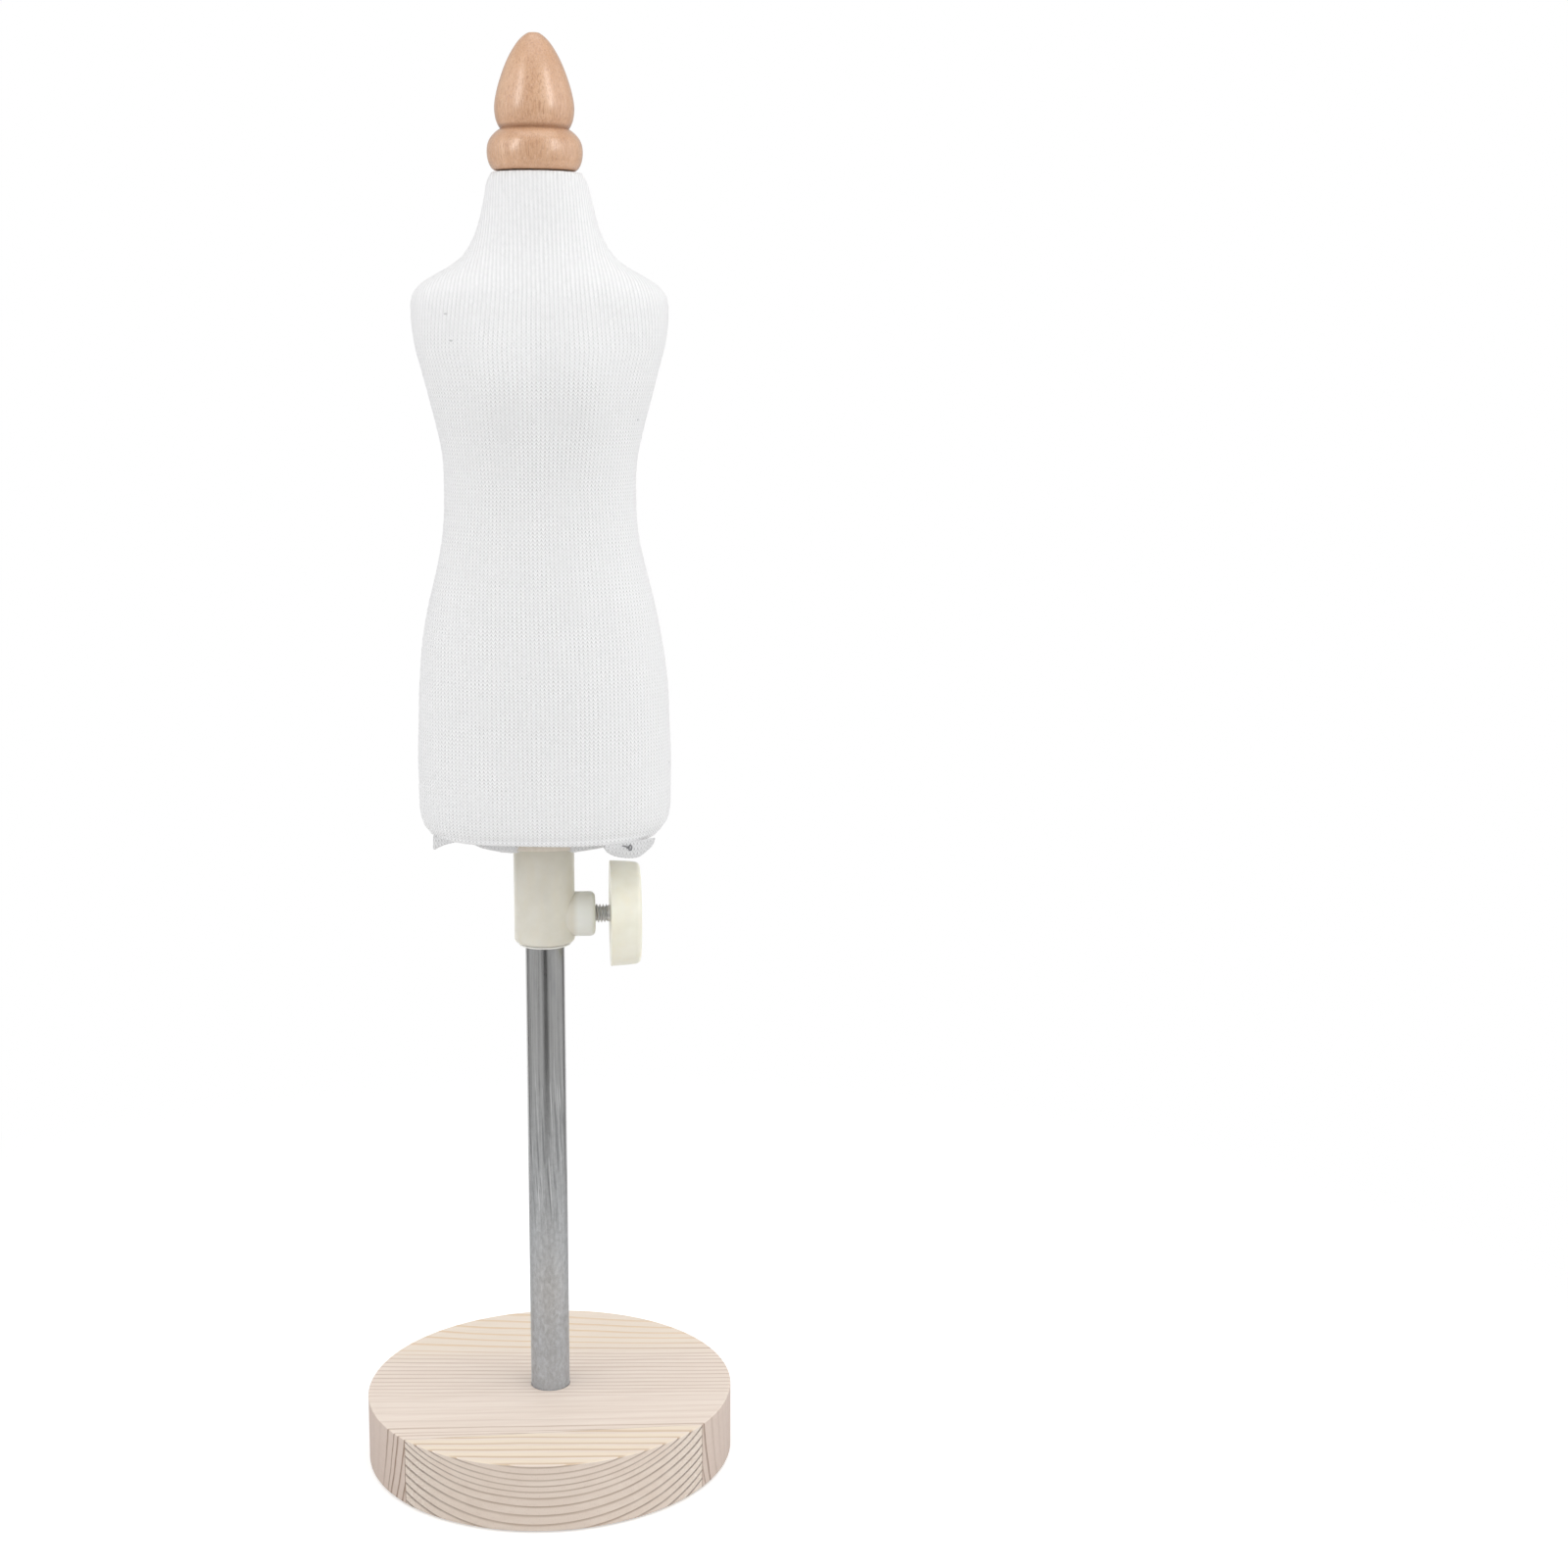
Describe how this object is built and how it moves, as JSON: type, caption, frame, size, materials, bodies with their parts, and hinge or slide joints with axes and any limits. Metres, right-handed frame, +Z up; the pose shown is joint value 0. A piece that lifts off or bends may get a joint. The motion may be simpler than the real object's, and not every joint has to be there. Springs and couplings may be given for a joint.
{
  "type": "dress form mannequin",
  "caption": "Small tabletop dress form: knit-covered foam torso with a turned wood finial, sliding and turning on a steel pole with a thumb-screw clamp and a round wood base.",
  "frame": {"origin": "centre of the round base's underside, on the table", "axes": "+Z up along the pole; the form's front faces -Y at rest; the clamp knob points along +X"},
  "size_m": [0.12, 0.12, 0.455],
  "materials": {
    "pine": "matte",
    "beech": "satin",
    "steel_tube": "satin",
    "zinc_steel": "satin",
    "ivory_plastic": "satin",
    "nylon": "satin",
    "black_plastic": "matte",
    "brass": "satin",
    "fibreboard": "matte",
    "card": "matte",
    "foam": "matte",
    "knit": "matte"
  },
  "bodies": {
    "stand": {"base_disc": "pine", "pole": "steel_tube", "pole_foot_plug": "zinc_steel", "base_bolt": "zinc_steel", "base_washer": "zinc_steel", "pole_end_cap": "black_plastic"},
    "slider": {"guide_bush": "nylon"},
    "form": {"collar": "ivory_plastic", "thread_insert": "brass", "bottom_plate": "fibreboard", "flange_screw_1": "zinc_steel", "flange_screw_2": "zinc_steel", "flange_screw_3": "zinc_steel", "cover_staple_1": "zinc_steel", "cover_staple_2": "zinc_steel", "cover_staple_3": "zinc_steel", "cover_staple_4": "zinc_steel", "cover_staple_5": "zinc_steel", "cover_staple_6": "zinc_steel", "foam_core": "foam", "bore_liner": "card", "neck_plug": "fibreboard", "finial_dowel": "beech", "finial": "beech", "knit_cover": "knit", "hem_tab": "knit", "tab_pin": "zinc_steel"},
    "clamp_shoe": {"clamp_pad": "nylon"},
    "clamp_screw": {"clamp_stud": "zinc_steel", "clamp_knob": "ivory_plastic"}
  },
  "joints": [
    {"name": "height_adjust", "type": "slide", "parent": "stand", "child": "slider", "axis": [0, 0, 1], "range_m": [-0.11, 0.06]},
    {"name": "swivel", "type": "hinge", "parent": "slider", "child": "form", "pos_m": [0, 0, 0.19], "axis": [0, 0, 1], "continuous": true},
    {"name": "clamp_travel", "type": "slide", "parent": "form", "child": "clamp_shoe", "axis": [1, 0, 0], "range_m": [0, 0.003]},
    {"name": "clamp_turn", "type": "hinge", "parent": "clamp_shoe", "child": "clamp_screw", "pos_m": [0.02, 0, 0.1827], "axis": [1, 0, 0], "range_deg": [0, 1080]}
  ],
  "couplings": [
    {"joint": "clamp_travel", "follows": "clamp_turn", "m_per_rad": 0.00015915}
  ]
}
